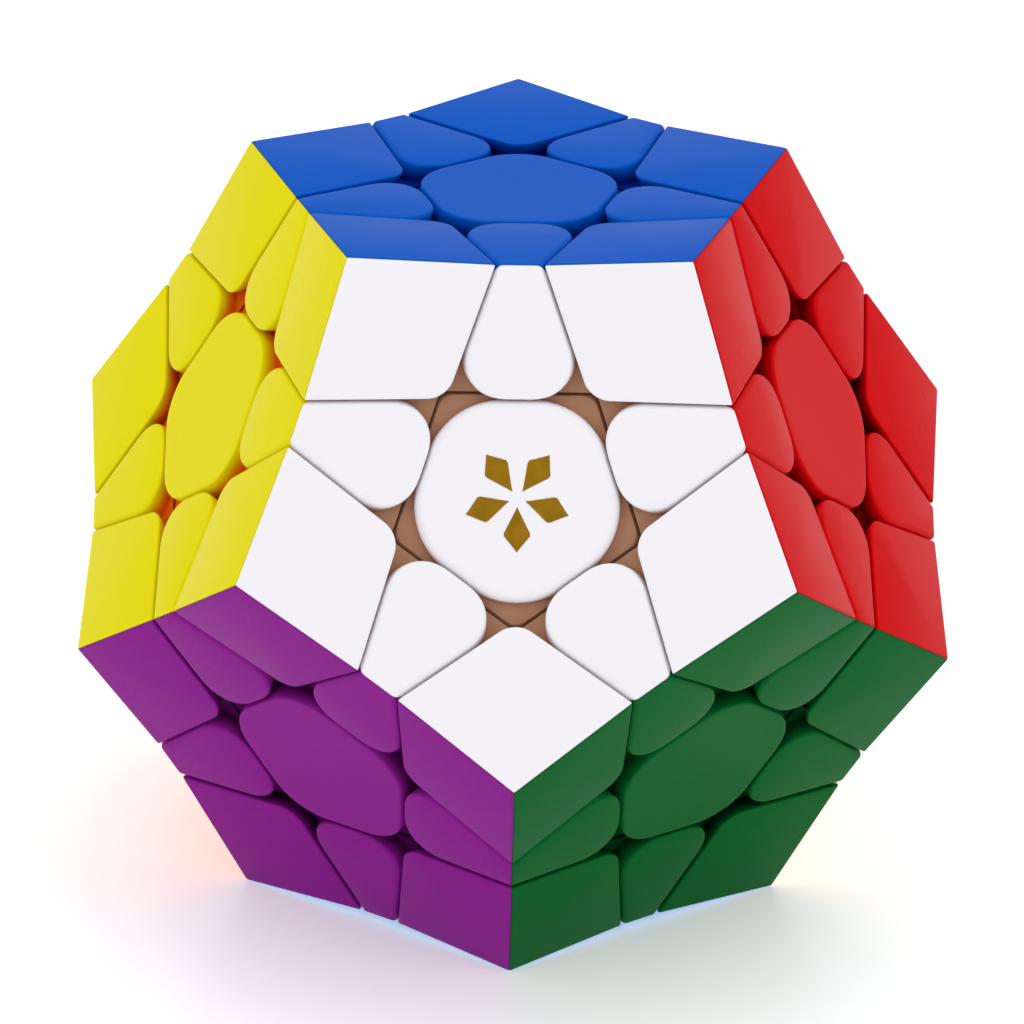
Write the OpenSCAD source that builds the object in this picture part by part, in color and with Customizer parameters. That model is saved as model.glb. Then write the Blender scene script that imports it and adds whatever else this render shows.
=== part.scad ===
// Twisty puzzle in the shape of a dodecahedron with dished faces: twelve centres,
// thirty edge pieces and twenty corner pieces that turn in layers round a core.
// Millimetres, +Z up, origin at the centre of the core. The puzzle stands on its sky-blue face.

/* [Puzzle] */
// Length of one straight edge of the dodecahedron
edge_len = 31; // [25.8:0.1:38]
// Width between the cuts on either side of an edge piece, along the dodecahedron's edge
edge_tile_w = 3.45; // [2.8:0.05:6]
// Fall of the corner tiles towards the middle of their face, in degrees
dish_tilt = 4.9; // [1:0.1:6]
// Running gap between neighbouring pieces
piece_gap = 0.3; // [0.2:0.01:0.4]

/* [Coloured shells] */
// Wall of the coloured shells and caps
shell_wall = 1.4; // [1:0.01:1.7]
// Rounding of a corner piece's inner corner
corner_round = 2.7; // [1.5:0.01:3.3]
// Rounding of an edge piece's two inner corners
edge_round = 2.9; // [1.5:0.01:3.6]
// Rounding of a centre cap's five corners
cap_round = 4.6; // [2:0.01:5.6]
// Thickness of the flange at the foot of a cap, which helps to close the holes round it
flange_t = 0.9; // [0.7:0.01:1.2]
// Rounding of the flange's five corners
flange_round = 1.4; // [1:0.01:2]
// Glue line between the shells of one piece
seam_gap = 0.04; // [0.02:0.01:0.1]
// Height of the plug that the shells of a piece are pressed onto
plug_h = 4; // [3:0.1:5]
// Fit of the shells on their plug, and of a cap's spigot in its cup
plug_gap = 0.1; // [0.05:0.01:0.15]
// Depth of the spigot under a cap
spigot_h = 1.5; // [1:0.1:2]
// Wall of the spigot under a cap
spigot_wall = 1; // [0.8:0.1:1.4]

/* [Necks, feet and core] */
// Half-angle of the track that the necks of a layer run round in
track_angle = 45; // [44:0.1:46]
// Length of the necks between the feet and the shells
neck_len = 12.4; // [10.4:0.1:14]
// Thickness of the feet
foot_t = 6; // [5:0.1:7]
// Wall left round the bore in an edge piece's neck
foot_wall = 1.2; // [1:0.01:1.5]
// Wall of the core ball
core_wall = 6.5; // [5.4:0.1:7.8]
// Height of the lip that locates the two halves of the core
lip_h = 1.5; // [1:0.1:2]
// Thickness of the lip
lip_t = 1.6; // [1:0.1:2]

/* [Centres, screws and springs] */
// Radius of the stem under each centre
stem_r = 2.4; // [2.2:0.01:2.8]
// Radius of the cup that holds the screw's head
cup_bore_r = 4.6; // [4.2:0.01:5.2]
// Floor of the cup
cup_floor = 1.6; // [1.2:0.01:2]
// Radius of the screw's shank
screw_r = 1.25; // [1:0.01:1.5]
// Running clearance of the stem round the screw
screw_gap = 0.25; // [0.2:0.01:0.3]
// Clearance of the screw's thread in the core
thread_gap = 0.05; // [0.03:0.01:0.08]
// Length of the screw inside the core
screw_grip = 5; // [4:0.1:6]
// Radius of the screw's head
head_r = 2.6; // [2.2:0.01:3.2]
// Height of the screw's head
head_h = 1.6; // [1.2:0.01:2]
// Width of the cross recess in the screw's head
slot_w = 0.6; // [0.4:0.01:0.8]
// Radius of the washer under the head
washer_r = 3.5; // [3.2:0.01:3.9]
// Thickness of the washer
washer_t = 0.5; // [0.4:0.01:0.8]
// Free play over the screw's head, and over and under the spring
play = 0.1; // [0.05:0.01:0.15]
// Radius of the spring, to the middle of its wire
spring_r = 2.5; // [2.2:0.01:3]
// Thickness of the spring's wire
wire_d = 0.6; // [0.4:0.01:0.72]
// Turns of the spring
spring_turns = 3.5; // [2.5:0.5:4.5]

/* [Hidden] */
$fn = 64;

// The twelve faces: five round the top, five round the bottom, then the top and the one it stands on
WHITE = 0;
RED = 1;
PINK = 2;
LIME = 3;
YELLOW = 4;
GREEN = 5;
CREAM = 6;
GREY = 7;
ORANGE = 8;
PURPLE = 9;
BLUE = 10;
SKY = 11;
FACES = [WHITE, RED, PINK, LIME, YELLOW, GREEN, CREAM, GREY, ORANGE, PURPLE, BLUE, SKY];
// The faces whose whole layer turns, and the mark of what stays with the core
LAYERS = [RED, YELLOW, GREY];
CORE = -1;

// Plastic and metal colours, in the order of the faces
PLASTIC = [
    [0.93, 0.92, 0.93], [0.76, 0.04, 0.06], [0.90, 0.40, 0.58], [0.45, 0.76, 0.10],
    [0.87, 0.82, 0.05], [0.00, 0.32, 0.12], [0.92, 0.86, 0.66], [0.45, 0.46, 0.48],
    [0.93, 0.40, 0.04], [0.44, 0.10, 0.47], [0.06, 0.30, 0.68], [0.34, 0.66, 0.88]
];
NYLON = [0.12, 0.12, 0.13];
STEEL = [0.72, 0.73, 0.75];

// Angles of the dodecahedron: between the axes of two faces that meet, and between a face's axis
// and its own edges, the edges that point at it and its own corners
phi = (1 + sqrt(5)) / 2;
face_angle = atan(2);
edge_angle = face_angle / 2;
end_angle = 90 - edge_angle;
// Distance of the faces, edges and corners from the centre
face_r = edge_len * sqrt(250 + 110 * sqrt(5)) / 20;
edge_r = edge_len * phi * phi / 2;
corner_r = edge_len * sqrt(3) * phi / 2;
corner_angle = acos(face_r / corner_r);

// The dish: fall per millimetre along a face's side, and the planes that follow from it
side_fall = tan(dish_tilt) * cos(54);
corner_len = (edge_len - edge_tile_w) / 2;
edge_tilt = atan(side_fall / sin(72));
corner_tile_h = corner_r * cos(corner_angle + dish_tilt);
edge_tile_h = edge_r * cos(edge_angle + edge_tilt) - side_fall * corner_len * cos(edge_tilt);
cap_h = face_r - 2 * side_fall * corner_len;
// Distance from the centre of the plane that a layer turns on
cut_h = face_r - corner_len * (sin(72) * sin(face_angle) + side_fall * cos(face_angle));

// Radii of the mechanism, from the outside inwards
half_gap = piece_gap / 2;
track_r = cut_h / cos(track_angle);
shell_floor_r = track_r + 2 * plug_gap;
foot_r = shell_floor_r - neck_len;
core_r = foot_r - foot_t;
foot_angle = face_angle - asin((stem_r + 1.5 * piece_gap) / core_r);
cap_floor_h = shell_floor_r * cos(face_angle - track_angle);
cup_floor_h = foot_r + piece_gap + cup_floor;
head_floor_h = cap_floor_h - spigot_h - play - head_h;
washer_floor_h = head_floor_h - washer_t;
spring_floor_h = cup_floor_h + play;
spring_h = washer_floor_h - play - spring_floor_h;
// Depth under the tiles of the flanges that close the holes where four pieces meet
flange_depth = cap_h - cap_floor_h - flange_t;
// Size of the blocks that stand for everything on one side of a plane
reach = 2 * corner_r;

function unit(v) = v / norm(v);
function polar(az, tilt) = [sin(tilt) * cos(az), sin(tilt) * sin(az), cos(tilt)];
function face_dir(f) =
    f == BLUE ? [0, 0, 1] :
    f == SKY ? [0, 0, -1] :
    f <= YELLOW ? polar(-90 + 72 * f, face_angle) :
    polar(-54 + 72 * (f - GREEN), 180 - face_angle);
function meets(f, g) = f != g && face_dir(f) * face_dir(g) > 0.4;
function has(list, x) = len([for (y = list) if (y == x) y]) > 0;
// The core or the turning layer that a piece belongs to
function body_of(piece) = let (l = [for (x = LAYERS) if (has(piece, x)) x]) len(l) > 0 ? l[0] : CORE;
EDGES = [for (f = FACES, g = FACES) if (f < g && meets(f, g)) [f, g]];
CORNERS = [for (e = EDGES, h = FACES) if (e[1] < h && meets(e[0], h) && meets(e[1], h)) [e[0], e[1], h]];
function sum_dirs(piece, i = 0) = i == len(piece) ? [0, 0, 0] : face_dir(piece[i]) + sum_dirs(piece, i + 1);
function neighbour(f) = [for (g = FACES) if (meets(f, g)) g][0];

// Turns a piece's own axis, +Z, out to its place, with +X towards face f
module place(piece, f) {
    z = unit(sum_dirs(piece));
    side = face_dir(len(piece) == 1 ? neighbour(f) : f);
    x = unit(side - (side * z) * z);
    y = cross(z, x);
    multmatrix([[x.x, y.x, z.x, 0], [x.y, y.y, z.y, 0], [x.z, y.z, z.z, 0], [0, 0, 0, 1]])
        children();
}

// Everything under, or over, a plane whose normal leans `tilt` from +Z towards `az`
module under(az, tilt, h) {
    rotate([0, tilt, az]) translate([-reach, -reach, h - 2 * reach]) cube(2 * reach);
}
module over(az, tilt, h) {
    rotate([0, tilt, az]) translate([-reach, -reach, h]) cube(2 * reach);
}

// What a rounding takes off the arris between two planes with normals p and q.
// `inward` points into the solid and `half` is half the angle of its wedge.
module arris(p, hp, q, hq, inward, half, r) {
    c = p * q;
    foot = ((hp - hq * c) * p + (hq - hp * c) * q) / (1 - c * c);
    x = -inward;
    z = unit(cross(p, q));
    y = cross(z, x);
    crown = 1.2 * r;
    depth = r * (1 / sin(half) - 1) + crown;
    multmatrix([[x.x, y.x, z.x, foot.x], [x.y, y.y, z.y, foot.y], [x.z, y.z, z.z, foot.z], [0, 0, 0, 1]])
        difference() {
            translate([-depth * pow(cos(half), 2), -reach, -reach]) cube(2 * reach);
            translate([-depth, 0, -1.5 * reach]) cylinder(r = crown, h = 3 * reach);
        }
}

// A cone about +Z with its tip at the core's centre, held `gap` inside its surface
module cone(angle, gap, low, high) {
    translate([0, 0, low]) cylinder(
        h = high - low,
        r1 = low * tan(angle) - gap / cos(angle),
        r2 = high * tan(angle) - gap / cos(angle)
    );
}

// Parts of the space of a corner piece: under its tile, inside its three cuts, and the rounding of
// the inner corner of that tile
module corner_tile(skin) {
    under(0, corner_angle + dish_tilt, corner_tile_h - skin);
}
module corner_cuts(inset) {
    intersection_for (a = [0, 120, 240]) over(a, corner_angle, cut_h + half_gap + inset);
}
module corner_arris(inset) {
    h = cut_h + half_gap + inset;
    p = polar(120, corner_angle);
    q = polar(240, corner_angle);
    arris(p, h, q, h, unit(p + q), end_angle, corner_round - inset);
}

// The space of one third of a corner piece, `inset` inside its tile and cuts
module corner_block(inset) {
    difference() {
        intersection() {
            corner_tile(inset);
            corner_cuts(inset);
        }
        corner_arris(inset);
    }
}

// One coloured shell of a corner piece, glued to the other two along its sides. Its inner corner
// is rounded down to the flange and sharp below.
module corner_shell() {
    difference() {
        intersection() {
            corner_tile(0);
            corner_cuts(0);
            under(150, 90, -seam_gap / 2);
            under(-150, 90, -seam_gap / 2);
        }
        intersection() {
            corner_arris(0);
            over(0, corner_angle + dish_tilt, corner_tile_h - flange_depth);
        }
        corner_block(shell_wall);
        sphere(shell_floor_r);
    }
}

// Parts of the space of an edge piece: under one tile and inside its four cuts, and the rounding
// of the two inner corners of that tile
module edge_cuts(inset) {
    low = cut_h + half_gap + inset;
    high = cut_h - half_gap - inset;
    intersection() {
        under(0, edge_angle + edge_tilt, edge_tile_h - inset);
        over(0, edge_angle, low);
        over(180, edge_angle, low);
        under(90, end_angle, high);
        under(-90, end_angle, high);
    }
}
module edge_arrises(inset) {
    low = cut_h + half_gap + inset;
    high = cut_h - half_gap - inset;
    p = polar(180, edge_angle);
    for (a = [-90, 90]) {
        q = polar(a, end_angle);
        arris(p, low, q, high, unit(p - q), edge_angle, edge_round - inset);
    }
}

// The space of one half of an edge piece, `inset` inside its tile and cuts
module edge_block(inset) {
    difference() {
        edge_cuts(inset);
        edge_arrises(inset);
    }
}

// One coloured shell of an edge piece, with its inner corners rounded down to the flange
module edge_shell() {
    difference() {
        intersection() {
            edge_cuts(0);
            over(0, 90, seam_gap / 2);
        }
        intersection() {
            edge_arrises(0);
            over(0, edge_angle + edge_tilt, edge_tile_h - flange_depth);
        }
        edge_block(shell_wall);
        sphere(shell_floor_r);
    }
}

// The flat slice of a piece's inside that its plug fills
module plug_slice() {
    translate([-reach, -reach, shell_floor_r + 2 * plug_gap]) cube([2 * reach, 2 * reach, plug_h]);
}

// The waist of a piece, which carries the shells on its shoulder, and the stalk from it to the plug
module neck(angle, stalk_r) {
    difference() {
        intersection() {
            cone(angle, half_gap, foot_r * cos(angle) - half_gap, shell_floor_r);
            sphere(shell_floor_r - plug_gap);
        }
        sphere(foot_r + half_gap);
    }
    translate([0, 0, shell_floor_r - neck_len / 4])
        cylinder(r = stalk_r, h = neck_len / 4 + 3 * plug_gap);
}

// The root of a neck, which joins it to the foot
module neck_root(angle) {
    cone(angle, piece_gap, core_r + foot_t / 2, foot_r + 2 * piece_gap);
}

// The layer between the core ball and the necks, where the feet are
module foot_layer() {
    difference() {
        sphere(foot_r - half_gap);
        sphere(core_r + piece_gap);
    }
}

// The inside of a corner piece: a round foot that hooks under the edges, a neck and a plug
module corner_foot() {
    hook = foot_angle - corner_angle;
    waist = track_angle - corner_angle;
    inset = shell_wall + plug_gap;
    stalk_r = shell_floor_r * sin(waist) - (half_gap + inset) / sin(track_angle) - plug_gap;
    intersection() {
        cone(hook, half_gap, core_r * cos(hook) - half_gap, foot_r);
        foot_layer();
    }
    neck_root(waist);
    neck(waist, stalk_r);
    difference() {
        intersection() {
            plug_slice();
            corner_cuts(inset);
            intersection_for (a = [0, 120, 240]) rotate(a) corner_tile(inset);
        }
        for (a = [0, 120, 240]) rotate(a) corner_arris(inset);
    }
}

// The inside of an edge piece: a flat foot that hooks under its two centres, a neck and a plug.
// A bore from the top saves plastic and leaves two cheeks of the plug, one for each shell.
module edge_foot() {
    hook = foot_angle - edge_angle;
    waist = min(end_angle - track_angle, track_angle - edge_angle);
    inset = shell_wall + plug_gap;
    half_w = core_r * sin(end_angle - foot_angle) - half_gap;
    stalk_r = (cut_h - half_gap - inset - (shell_floor_r + 3 * plug_gap) * cos(end_angle)) / sin(end_angle);
    difference() {
        union() {
            intersection() {
                cone(hook, half_gap, core_r * cos(hook) - half_gap, foot_r);
                translate([-reach, -half_w, 0]) cube([2 * reach, 2 * half_w, reach]);
                foot_layer();
            }
            intersection() {
                neck_root(waist);
                translate([-reach, -half_w, 0]) cube([2 * reach, 2 * half_w, reach]);
            }
            neck(waist, stalk_r);
            intersection() {
                edge_block(inset);
                rotate(180) edge_block(inset);
                plug_slice();
            }
        }
        translate([0, 0, foot_r + foot_wall]) cylinder(r = stalk_r - foot_wall, h = reach);
    }
}

// The five rounded-off corners between a cap's flanks
module cap_corners(r) {
    h = cut_h - half_gap;
    for (a = [0:72:288]) {
        p = polar(a, face_angle);
        q = polar(a + 72, face_angle);
        arris(p, h, q, h, -unit(p + q), end_angle, r);
    }
}

// A centre cap: flat on top, with five rounded corners that drop straight from the rim to a
// flange, and a round spigot that snaps into the cup
module cap() {
    h = cut_h - half_gap;
    flat_r = (h - cap_h * cos(face_angle)) / sin(face_angle);
    corner_reach = (flat_r - cap_round) / cos(36) + cap_round + play;
    spigot_r = cup_bore_r - plug_gap;
    difference() {
        intersection() {
            intersection_for (a = [0:72:288]) under(a, face_angle, h);
            translate([-reach, -reach, cap_floor_h]) cube([2 * reach, 2 * reach, cap_h - cap_floor_h]);
        }
        cap_corners(flange_round);
        translate([0, 0, cap_floor_h + flange_t]) difference() {
            cylinder(r = reach, h = reach);
            translate([0, 0, -1]) cylinder(r = corner_reach, h = 2 * reach);
        }
        intersection() {
            cap_corners(cap_round);
            translate([0, 0, cap_floor_h + flange_t]) cylinder(r = reach, h = reach);
        }
        translate([0, 0, cap_floor_h - spigot_h])
            cylinder(r = spigot_r - spigot_wall, h = cap_h - shell_wall - cap_floor_h + spigot_h);
    }
    translate([0, 0, cap_floor_h - spigot_h]) difference() {
        cylinder(r = spigot_r, h = spigot_h + (cap_h - cap_floor_h) / 4);
        translate([0, 0, -1]) cylinder(r = spigot_r - spigot_wall, h = cap_h);
    }
}

// The cup and stem under a cap, which turn on the screw and hold the edges' feet down
module center_base() {
    side = face_angle - track_angle;
    difference() {
        union() {
            difference() {
                cone(side, half_gap, foot_r * cos(side) - piece_gap, cap_floor_h - plug_gap);
                sphere(foot_r + half_gap);
            }
            translate([0, 0, core_r + piece_gap]) cylinder(r = stem_r, h = foot_r - core_r + cup_floor / 2);
        }
        translate([0, 0, cup_floor_h]) cylinder(r = cup_bore_r, h = reach);
        cylinder(r = screw_r + screw_gap, h = reach);
    }
}

// The screw that holds a centre to the core, with a cross recess in its pan head
module screw() {
    tip_h = core_r - screw_grip;
    difference() {
        union() {
            translate([0, 0, tip_h]) cylinder(r = screw_r, h = head_floor_h - tip_h + head_h / 2);
            translate([0, 0, head_floor_h]) cylinder(r = head_r, h = head_h);
        }
        for (a = [0, 90])
            rotate(a) translate([-0.65 * head_r, -slot_w / 2, head_floor_h + head_h / 3])
                cube([1.3 * head_r, slot_w, head_h]);
    }
}

module washer() {
    translate([0, 0, washer_floor_h]) difference() {
        cylinder(r = washer_r, h = washer_t - play / 4);
        translate([0, 0, -1]) cylinder(r = screw_r + screw_gap, h = washer_t + 2);
    }
}

// The coil spring between the cup's floor and the washer
module spring() {
    sides = 5;
    steps = round(8 * spring_turns);
    rings = [for (i = [0:steps]) let (
        turn = 360 * spring_turns * i / steps,
        z = spring_floor_h + wire_d / 2 + (spring_h - wire_d) * i / steps
    ) for (k = [0:sides - 1]) let (
        a = 360 * k / sides,
        r = spring_r + wire_d / 2 * cos(a)
    ) [r * cos(turn), r * sin(turn), z + wire_d / 2 * sin(a)]];
    skin = [for (i = [0:steps - 1], k = [0:sides - 1]) let (n = (k + 1) % sides)
        [i * sides + k, (i + 1) * sides + k, (i + 1) * sides + n, i * sides + n]];
    ends = [[for (k = [0:sides - 1]) k], [for (k = [0:sides - 1]) (steps + 1) * sides - 1 - k]];
    polyhedron(rings, concat(skin, ends));
}

// Half of the core ball: the upper half has the lip, the lower half the groove that it fits
module core_half(upper) {
    inner_r = core_r - core_wall;
    lip_r = (core_r + inner_r + lip_t) / 2;
    side = upper ? 1 : -1;
    difference() {
        union() {
            difference() {
                sphere(core_r);
                translate([-reach, -reach, upper ? -2 * reach : 0]) cube(2 * reach);
            }
            if (upper) translate([0, 0, -lip_h]) cylinder(r = lip_r, h = 1.3 * lip_h);
        }
        sphere(inner_r);
        if (upper) translate([0, 0, -2 * lip_h]) cylinder(r = lip_r - lip_t, h = 2 * lip_h);
        else translate([0, 0, -lip_h - plug_gap]) difference() {
            cylinder(r = lip_r + plug_gap, h = reach);
            translate([0, 0, -1]) cylinder(r = lip_r - lip_t - plug_gap, h = 2 * reach);
        }
        for (f = FACES) if (face_dir(f).z * side > 0)
            place([f], f) translate([0, 0, inner_r - half_gap])
                cylinder(r = screw_r + thread_gap, h = core_wall + piece_gap);
    }
}

// Groups of like pieces: those of one body, and for shells those of one face's colour
module corner_shells(body, f) {
    for (c = CORNERS) if (body_of(c) == body && has(c, f)) place(c, f) corner_shell();
}
module edge_shells(body, f) {
    for (e = EDGES) if (body_of(e) == body && has(e, f)) place(e, f) edge_shell();
}
module shells(body, f) {
    color(PLASTIC[f]) {
        corner_shells(body, f);
        edge_shells(body, f);
    }
}
module face_cap(f) {
    color(PLASTIC[f]) place([f], f) cap();
}
module feet_of_corners(body) {
    color(NYLON) for (c = CORNERS) if (body_of(c) == body) place(c, c[0]) corner_foot();
}
module feet_of_edges(body) {
    color(NYLON) for (e = EDGES) if (body_of(e) == body) place(e, e[0]) edge_foot();
}
module bases(body) {
    color(NYLON) for (f = FACES) if (body_of([f]) == body) place([f], f) center_base();
}

// What stays with the core
module core_upper_half() { color(NYLON) core_half(true); }
module core_lower_half() { color(NYLON) core_half(false); }
module core_screws() { color(STEEL) for (f = FACES) place([f], f) screw(); }
module tension_springs() { color(STEEL) for (f = FACES) place([f], f) spring(); }
module spring_washers() { color(STEEL) for (f = FACES) place([f], f) washer(); }
module center_bases() { bases(CORE); }
module edge_feet() { feet_of_edges(CORE); }
module corner_feet() { feet_of_corners(CORE); }
module white_cap() { face_cap(WHITE); }
module blue_cap() { face_cap(BLUE); }
module green_cap() { face_cap(GREEN); }
module purple_cap() { face_cap(PURPLE); }
module pink_cap() { face_cap(PINK); }
module lime_cap() { face_cap(LIME); }
module orange_cap() { face_cap(ORANGE); }
module cream_cap() { face_cap(CREAM); }
module sky_cap() { face_cap(SKY); }
module white_shells() { shells(CORE, WHITE); }
module blue_shells() { shells(CORE, BLUE); }
module green_shells() { shells(CORE, GREEN); }
module purple_shells() { shells(CORE, PURPLE); }
module pink_shells() { shells(CORE, PINK); }
module lime_shells() { shells(CORE, LIME); }
module orange_shells() { shells(CORE, ORANGE); }
module cream_shells() { shells(CORE, CREAM); }
module sky_shells() { shells(CORE, SKY); }

// The red layer
module red_cap() { face_cap(RED); }
module red_corner_shells() { color(PLASTIC[RED]) corner_shells(RED, RED); }
module red_edge_shells() { color(PLASTIC[RED]) edge_shells(RED, RED); }
module red_center_base() { bases(RED); }
module red_edge_feet() { feet_of_edges(RED); }
module red_corner_feet() { feet_of_corners(RED); }
module red_layer_white_shells() { shells(RED, WHITE); }
module red_layer_blue_shells() { shells(RED, BLUE); }
module red_layer_green_shells() { shells(RED, GREEN); }
module red_layer_pink_shells() { shells(RED, PINK); }
module red_layer_cream_shells() { shells(RED, CREAM); }

// The yellow layer
module yellow_cap() { face_cap(YELLOW); }
module yellow_corner_shells() { color(PLASTIC[YELLOW]) corner_shells(YELLOW, YELLOW); }
module yellow_edge_shells() { color(PLASTIC[YELLOW]) edge_shells(YELLOW, YELLOW); }
module yellow_center_base() { bases(YELLOW); }
module yellow_edge_feet() { feet_of_edges(YELLOW); }
module yellow_corner_feet() { feet_of_corners(YELLOW); }
module yellow_layer_white_shells() { shells(YELLOW, WHITE); }
module yellow_layer_blue_shells() { shells(YELLOW, BLUE); }
module yellow_layer_purple_shells() { shells(YELLOW, PURPLE); }
module yellow_layer_lime_shells() { shells(YELLOW, LIME); }
module yellow_layer_orange_shells() { shells(YELLOW, ORANGE); }

// The grey layer
module grey_cap() { face_cap(GREY); }
module grey_corner_shells() { color(PLASTIC[GREY]) corner_shells(GREY, GREY); }
module grey_edge_shells() { color(PLASTIC[GREY]) edge_shells(GREY, GREY); }
module grey_center_base() { bases(GREY); }
module grey_edge_feet() { feet_of_edges(GREY); }
module grey_corner_feet() { feet_of_corners(GREY); }
module grey_layer_pink_shells() { shells(GREY, PINK); }
module grey_layer_lime_shells() { shells(GREY, LIME); }
module grey_layer_cream_shells() { shells(GREY, CREAM); }
module grey_layer_orange_shells() { shells(GREY, ORANGE); }
module grey_layer_sky_shells() { shells(GREY, SKY); }

core_upper_half();
core_lower_half();
core_screws();
tension_springs();
spring_washers();
center_bases();
edge_feet();
corner_feet();
white_cap();
blue_cap();
green_cap();
purple_cap();
pink_cap();
lime_cap();
orange_cap();
cream_cap();
sky_cap();
white_shells();
blue_shells();
green_shells();
purple_shells();
pink_shells();
lime_shells();
orange_shells();
cream_shells();
sky_shells();
red_cap();
red_corner_shells();
red_edge_shells();
red_center_base();
red_edge_feet();
red_corner_feet();
red_layer_white_shells();
red_layer_blue_shells();
red_layer_green_shells();
red_layer_pink_shells();
red_layer_cream_shells();
yellow_cap();
yellow_corner_shells();
yellow_edge_shells();
yellow_center_base();
yellow_edge_feet();
yellow_corner_feet();
yellow_layer_white_shells();
yellow_layer_blue_shells();
yellow_layer_purple_shells();
yellow_layer_lime_shells();
yellow_layer_orange_shells();
grey_cap();
grey_corner_shells();
grey_edge_shells();
grey_center_base();
grey_edge_feet();
grey_corner_feet();
grey_layer_pink_shells();
grey_layer_lime_shells();
grey_layer_cream_shells();
grey_layer_orange_shells();
grey_layer_sky_shells();
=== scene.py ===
# A twelve-faced twisty puzzle with dished faces, solved, standing on a pale table.
# The sections follow the puzzle as it is put together: core, screws and springs, the feet and
# cups that run round it, the moulded pieces, the caps, and last the table, the light and the camera.
import math

import bmesh
import bpy
from mathutils import Matrix, Vector
from mathutils.bvhtree import BVHTree


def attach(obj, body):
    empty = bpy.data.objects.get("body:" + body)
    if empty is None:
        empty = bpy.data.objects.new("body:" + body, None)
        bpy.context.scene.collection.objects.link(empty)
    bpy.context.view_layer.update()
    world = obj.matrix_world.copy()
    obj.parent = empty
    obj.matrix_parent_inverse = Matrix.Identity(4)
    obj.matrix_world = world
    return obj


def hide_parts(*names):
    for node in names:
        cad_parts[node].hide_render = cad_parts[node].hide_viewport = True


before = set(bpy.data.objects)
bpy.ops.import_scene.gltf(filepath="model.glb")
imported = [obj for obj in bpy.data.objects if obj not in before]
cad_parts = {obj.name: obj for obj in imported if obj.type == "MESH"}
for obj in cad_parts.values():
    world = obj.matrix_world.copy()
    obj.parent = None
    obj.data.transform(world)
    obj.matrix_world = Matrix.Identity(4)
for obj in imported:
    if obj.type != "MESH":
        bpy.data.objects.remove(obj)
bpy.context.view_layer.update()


# ---------------------------------------------------------------- The core ball
# Two hollow halves of dark moulded nylon, located by a lip and held by the pull of the twelve
# screws. They keep the CAD's own shapes and get the finish of greased nylon.
def linear(red, green, blue):
    """A colour chosen on a 0 to 255 scale, as the renderer wants it."""
    return tuple(((c / 255 + 0.055) / 1.055) ** 2.4 if c > 10 else c / 255 / 12.92
                 for c in (red, green, blue)) + (1.0,)


def new_material(name, colour, roughness):
    """A material with its shader ready, and its node tree, shader and link function to add to."""
    made = bpy.data.materials.new(name)
    made.use_nodes = True
    tree = made.node_tree
    shader = tree.nodes["Principled BSDF"]
    shader.inputs["Base Color"].default_value = colour
    shader.inputs["Roughness"].default_value = roughness
    made.diffuse_color = colour
    return made, tree, shader


def add_noise(tree, scale, detail):
    """A noise pattern in the object's own space."""
    coordinates = tree.nodes.new("ShaderNodeTexCoord")
    noise = tree.nodes.new("ShaderNodeTexNoise")
    noise.inputs["Scale"].default_value = scale
    noise.inputs["Detail"].default_value = detail
    tree.links.new(coordinates.outputs["Object"], noise.inputs["Vector"])
    return noise.outputs["Fac"]


def add_range(tree, source, low, high, socket):
    """Feeds a 0 to 1 pattern to a socket, spread from low to high."""
    spread = tree.nodes.new("ShaderNodeMapRange")
    spread.inputs["From Min"].default_value = 0.3
    spread.inputs["From Max"].default_value = 0.7
    spread.inputs["To Min"].default_value = low
    spread.inputs["To Max"].default_value = high
    tree.links.new(source, spread.inputs["Value"])
    tree.links.new(spread.outputs["Result"], socket)


def add_bump(tree, shader, source, strength, height):
    """Raises the surface by a pattern, height in metres."""
    bump = tree.nodes.new("ShaderNodeBump")
    bump.inputs["Strength"].default_value = strength
    bump.inputs["Distance"].default_value = height
    tree.links.new(source, bump.inputs["Height"])
    tree.links.new(bump.outputs["Normal"], shader.inputs["Normal"])


def add_shades(tree, shader, source, dark, light):
    """Lets the base colour wander between two near shades."""
    mix = tree.nodes.new("ShaderNodeMix")
    mix.data_type = "RGBA"
    mix.inputs["A"].default_value = dark
    mix.inputs["B"].default_value = light
    tree.links.new(source, mix.inputs["Factor"])
    tree.links.new(mix.outputs["Result"], shader.inputs["Base Color"])


def shaded(colour, factor):
    """The same colour, darker or lighter."""
    return tuple(min(1.0, c * factor) for c in colour[:3]) + (1.0,)


def greased_nylon():
    colour = linear(52, 50, 52)
    made, tree, shader = new_material("greased_nylon", colour, 0.42)
    clouds = add_noise(tree, 260.0, 4.0)
    add_shades(tree, shader, clouds, shaded(colour, 0.8), shaded(colour, 1.25))
    add_range(tree, clouds, 0.32, 0.52, shader.inputs["Roughness"])
    add_bump(tree, shader, add_noise(tree, 2600.0, 3.0), 0.25, 0.00003)
    return made


def paint_node(name, material):
    """Gives a CAD node its finish."""
    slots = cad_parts[name].data.materials
    slots.clear()
    slots.append(material)


nylon = greased_nylon()
for node in ("core_upper_half", "core_lower_half"):
    paint_node(node, nylon)


# ---------------------------------------------------------------- Screws, washers and springs
# Twelve zinc-plated screws run down the stems into the core, each over a stamped washer and a
# drawn wire spring. The metal shows fine turning marks and a little uneven plating.
def plated_steel(name, colour, roughness):
    made, tree, shader = new_material(name, colour, roughness)
    shader.inputs["Metallic"].default_value = 1.0
    blotches = add_noise(tree, 420.0, 3.0)
    add_range(tree, blotches, roughness * 0.75, roughness * 1.4, shader.inputs["Roughness"])
    add_shades(tree, shader, blotches, shaded(colour, 0.88), shaded(colour, 1.06))
    add_bump(tree, shader, add_noise(tree, 5200.0, 2.0), 0.2, 0.00001)
    return made


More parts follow.
